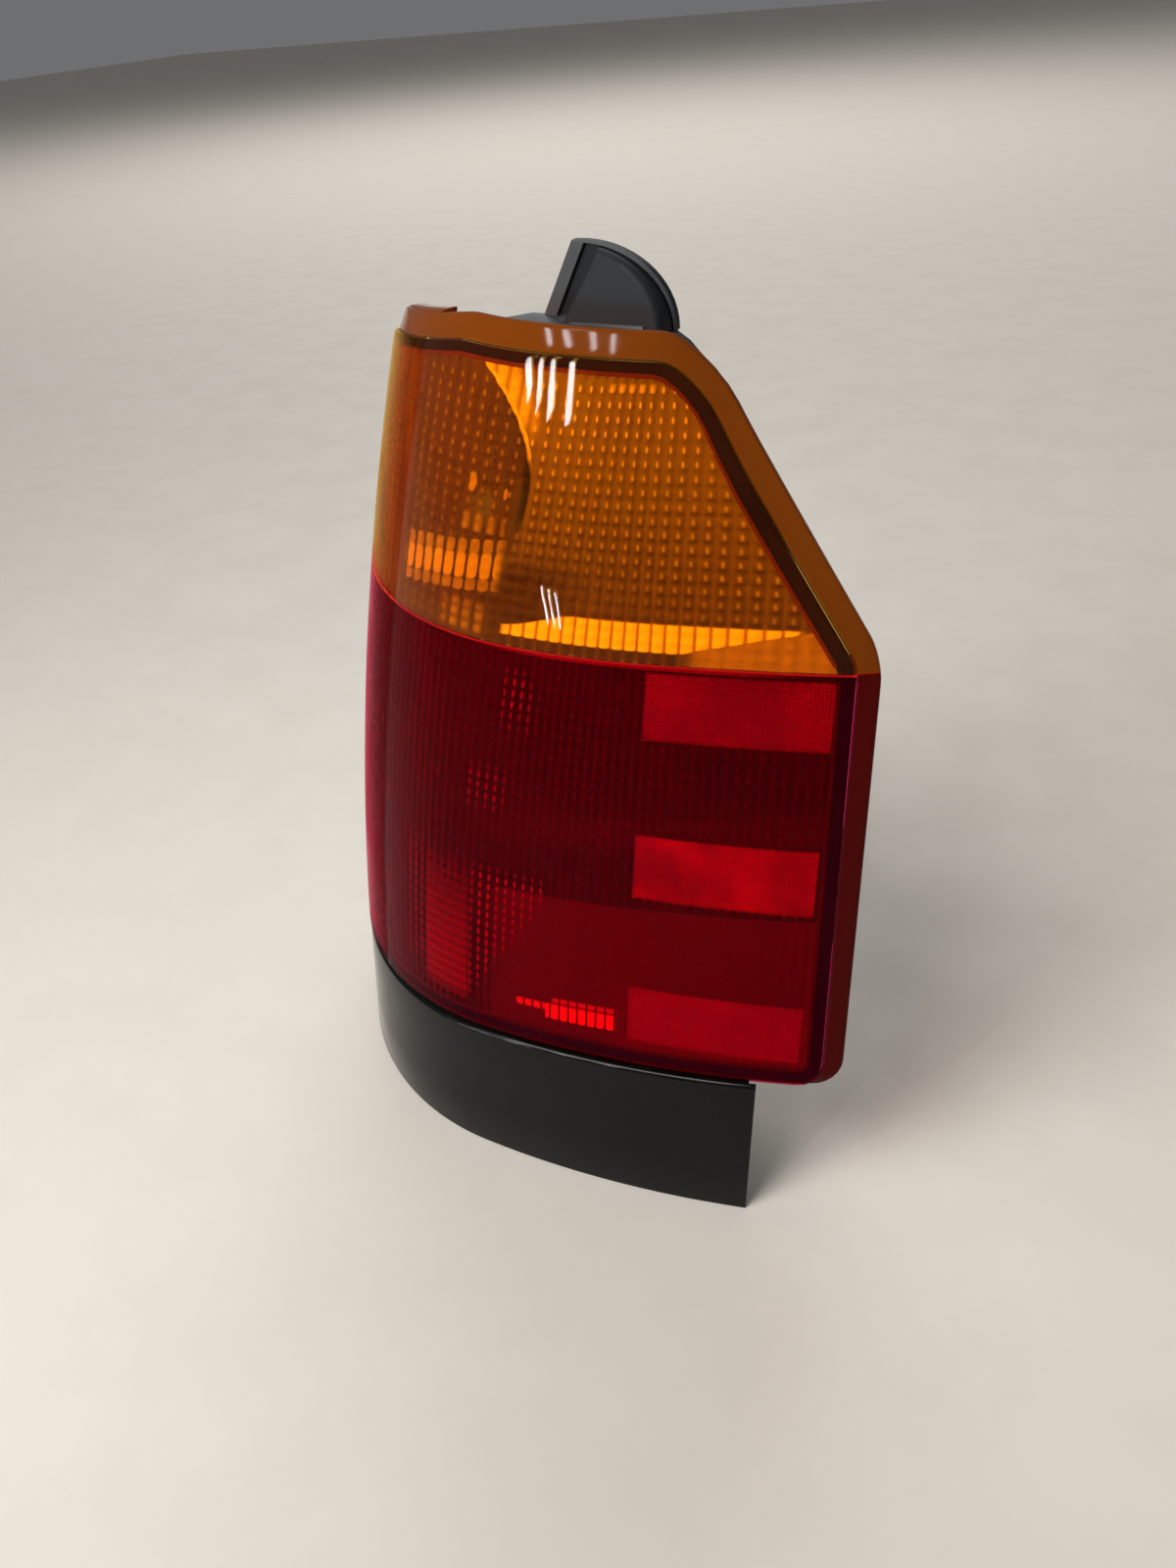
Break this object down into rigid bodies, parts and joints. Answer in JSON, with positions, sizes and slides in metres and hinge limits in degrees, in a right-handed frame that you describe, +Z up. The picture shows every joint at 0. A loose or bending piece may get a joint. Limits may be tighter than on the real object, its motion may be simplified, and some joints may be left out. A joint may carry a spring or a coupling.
{
  "type": "car rear corner lamp",
  "caption": "Left rear corner lamp of a car: wrap-round lens with an amber part over a red part, black housing with a hood on top, filler trim below, twist-out bulb holders behind.",
  "frame": {"origin": "centre of the flat seat pad on the housing's back, on its outer face", "axes": "+Y out of the housing's back into the car body, +Z up, +X towards the car's middle"},
  "size_m": [0.3579, 0.1832, 0.4829],
  "materials": {
    "amber_acrylic": "clear amber, moulded optics inside",
    "red_acrylic": "clear red, moulded optics inside",
    "reflex_red": "fine prism back",
    "sealant": "matt bead",
    "black_moulding": "satin moulded",
    "metallised": "bright metallised plastic",
    "divider_grey": "moulded",
    "gasket_foam": "closed-cell foam",
    "carrier_grey": "satin moulded",
    "zinc_plate": "zinc plated",
    "connector_black": "satin moulded",
    "tinned_pin": "tinned",
    "holder_grey": "satin moulded",
    "seal_rubber": "matt",
    "bulb_cap": "plated brass cap",
    "bulb_glass": "clear",
    "tungsten": "drawn wire",
    "white_nylon": "moulded",
    "black_rubber": "matt",
    "trim_black": "gloss, lightly worn"
  },
  "bodies": {
    "lamp": {"amber_lens": "amber_acrylic", "red_lens": "red_acrylic", "reflex_panel_upper": "reflex_red", "reflex_panel_middle": "reflex_red", "reflex_panel_lower": "reflex_red", "lens_seal": "sealant", "housing": "black_moulding", "upper_reflector": "metallised", "lower_reflector": "metallised", "chamber_divider": "divider_grey", "carrier_gasket": "gasket_foam", "carrier_plate": "carrier_grey", "plate_screw_1": "zinc_plate", "plate_screw_2": "zinc_plate", "plate_screw_3": "zinc_plate", "plate_screw_4": "zinc_plate", "connector_header": "connector_black", "connector_pin_1": "tinned_pin", "connector_pin_2": "tinned_pin", "connector_pin_3": "tinned_pin", "connector_pin_4": "tinned_pin", "stud_upper": "zinc_plate", "stud_lower": "zinc_plate", "locating_pin_inboard_upper": "white_nylon", "locating_pin_inboard_lower": "white_nylon", "pin_grommet_inboard_upper": "black_rubber", "pin_grommet_inboard_lower": "black_rubber", "vent_cap_upper": "black_rubber", "vent_cap_lower": "black_rubber", "filler_trim": "trim_black", "trim_screw_1": "zinc_plate", "trim_screw_2": "zinc_plate", "trim_screw_3": "zinc_plate"},
    "turn_holder": {"turn_socket": "holder_grey", "turn_socket_seal": "seal_rubber", "turn_bulb_base": "bulb_cap", "turn_bulb_glass": "bulb_glass", "turn_filament": "tungsten"},
    "stop_holder": {"stop_socket": "holder_grey", "stop_socket_seal": "seal_rubber", "stop_bulb_base": "bulb_cap", "stop_bulb_glass": "bulb_glass", "stop_filament": "tungsten"},
    "tail_holder": {"tail_socket": "holder_grey", "tail_socket_seal": "seal_rubber", "tail_bulb_base": "bulb_cap", "tail_bulb_glass": "bulb_glass", "tail_filament": "tungsten"}
  },
  "joints": [
    {"name": "turn_holder_twist", "type": "hinge", "parent": "lamp", "child": "turn_holder", "pos_m": [-0.11, 0.0011, 0.148], "axis": [0, 1, 0], "range_deg": [0, 45]},
    {"name": "stop_holder_twist", "type": "hinge", "parent": "lamp", "child": "stop_holder", "pos_m": [-0.11, 0.0011, 0.022], "axis": [0, 1, 0], "range_deg": [0, 45]},
    {"name": "tail_holder_twist", "type": "hinge", "parent": "lamp", "child": "tail_holder", "pos_m": [-0.11, 0.0011, -0.078], "axis": [0, 1, 0], "range_deg": [0, 45]}
  ]
}
